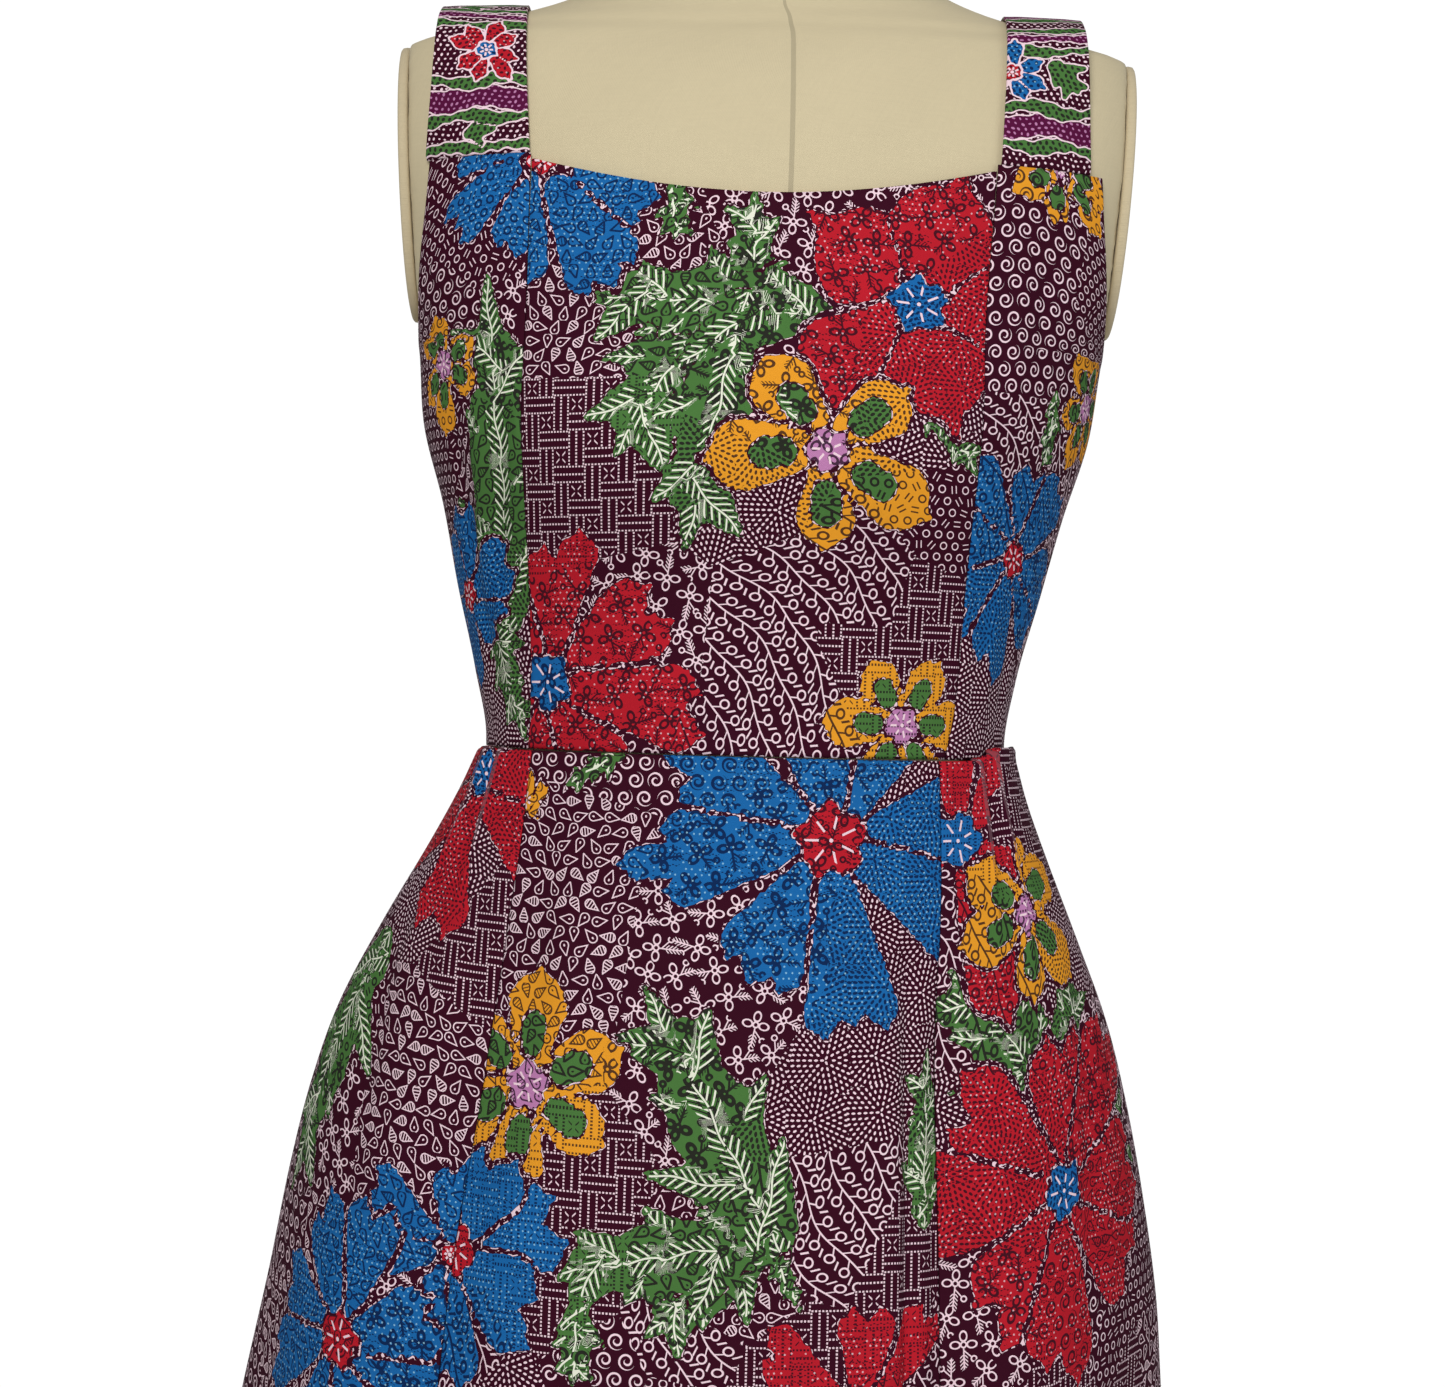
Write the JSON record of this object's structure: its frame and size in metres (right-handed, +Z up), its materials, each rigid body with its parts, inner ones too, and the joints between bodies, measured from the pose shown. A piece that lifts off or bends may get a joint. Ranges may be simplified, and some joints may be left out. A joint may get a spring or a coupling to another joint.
{
  "type": "sleeveless batik sundress on a dress form",
  "caption": "Square-neck sleeveless cotton sundress with wide straps, panelled bodice and flared gored skirt, worn by a limbless linen dress form on a pole and round base.",
  "frame": {"origin": "middle of the round base's underside, on the floor", "axes": "+Z up the pole, the dress faces -Y, +X to the right of someone who looks at its front"},
  "size_m": [0.5272, 0.39, 1.5223],
  "materials": {
    "cloth": "matt printed cotton, plum ground with crimson, blue, green and marigold flowers and white outlines",
    "cloth_border": "matt printed cotton, wavy green bands on dotted plum",
    "linen": "natural linen stretched over a hard shell",
    "plate": "linen-covered board",
    "wood": "turned, satin varnish",
    "pole": "satin tube",
    "base": "black enamel",
    "zip_tape": "woven tape with coil teeth",
    "zip_metal": "nickel plated"
  },
  "bodies": {
    "dress_and_form": {"form_torso": "linen", "arm_plate_left": "plate", "arm_plate_right": "plate", "neck_cap": "wood", "pole": "pole", "base": "base", "bodice_front_center": "cloth", "bodice_front_side_left": "cloth", "bodice_front_side_right": "cloth", "bodice_back_left": "cloth", "bodice_back_right": "cloth", "strap_left": "cloth_border", "strap_right": "cloth_border", "skirt_front_center": "cloth", "skirt_front_side_left": "cloth", "skirt_front_side_right": "cloth", "skirt_back_left": "cloth", "skirt_back_right": "cloth", "zip_chain": "zip_tape", "zip_slider": "zip_metal"},
    "zip_pull": {"zip_pull": "zip_metal"}
  },
  "joints": [
    {"name": "zip_pull_swing", "type": "hinge", "parent": "dress_and_form", "child": "zip_pull", "pos_m": [0, 0.11255, 1.28764], "axis": [1, 0, 0], "range_deg": [0, 150]}
  ]
}
